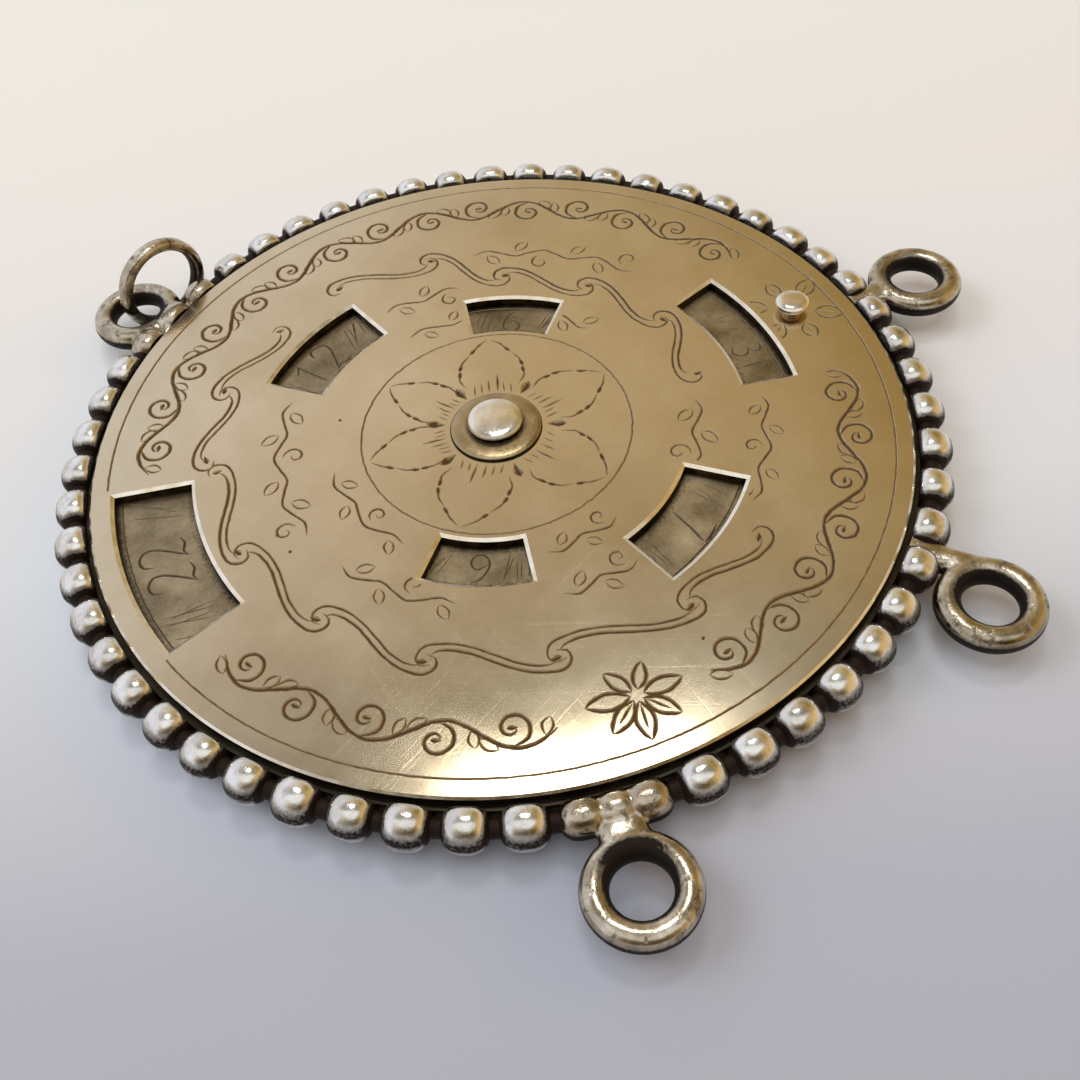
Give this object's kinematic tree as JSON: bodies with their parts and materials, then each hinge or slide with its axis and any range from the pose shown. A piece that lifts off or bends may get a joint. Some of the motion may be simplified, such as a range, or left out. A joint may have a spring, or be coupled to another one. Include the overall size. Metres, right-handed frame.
{
  "type": "perpetual calendar pendant",
  "caption": "Round silver perpetual calendar worn as a pendant: a pierced dial and a back dial turn on a rivet over a plate of plain numbers, in a beaded rim with loops.",
  "frame": {"origin": "centre of the flat on the back rivet head, which the pendant rests on", "axes": "+Z out of the pierced front dial along the turning axis, +Y towards the top loop and the free ring"},
  "size_m": [0.0546, 0.0652, 0.0066],
  "materials": {
    "worn_silver": "worn warm silver with fine scratches and dark engraving",
    "dark_silver": "tarnished silver with dark engraved figures",
    "polished_silver": "polished silver, dark in the crevices"
  },
  "bodies": {
    "plate": {"base_plate": "dark_silver", "rivet": "polished_silver", "front_washer": "worn_silver", "back_washer": "worn_silver", "right_beads": "polished_silver", "lower_right_beads": "polished_silver", "lower_left_beads": "polished_silver", "left_beads": "polished_silver", "top_loop": "polished_silver", "right_loop": "polished_silver", "centre_loop": "polished_silver", "left_loop": "polished_silver"},
    "front_disc": {"front_dial": "worn_silver", "front_knob": "polished_silver"},
    "back_disc": {"back_dial": "worn_silver", "back_knob": "polished_silver"},
    "free_ring": {"jump_ring": "polished_silver"}
  },
  "joints": [
    {"name": "front_dial_turn", "type": "hinge", "parent": "plate", "child": "front_disc", "pos_m": [0, 0, 0.0026], "axis": [0, 0, 1], "continuous": true},
    {"name": "back_dial_turn", "type": "hinge", "parent": "plate", "child": "back_disc", "pos_m": [0, 0, 0.001], "axis": [0, 0, 1], "continuous": true},
    {"name": "free_ring_swing", "type": "hinge", "parent": "plate", "child": "free_ring", "pos_m": [0.00243, 0.02815, 0.0021], "axis": [0.9659, -0.2588, 0], "range_deg": [-25, 20]}
  ]
}
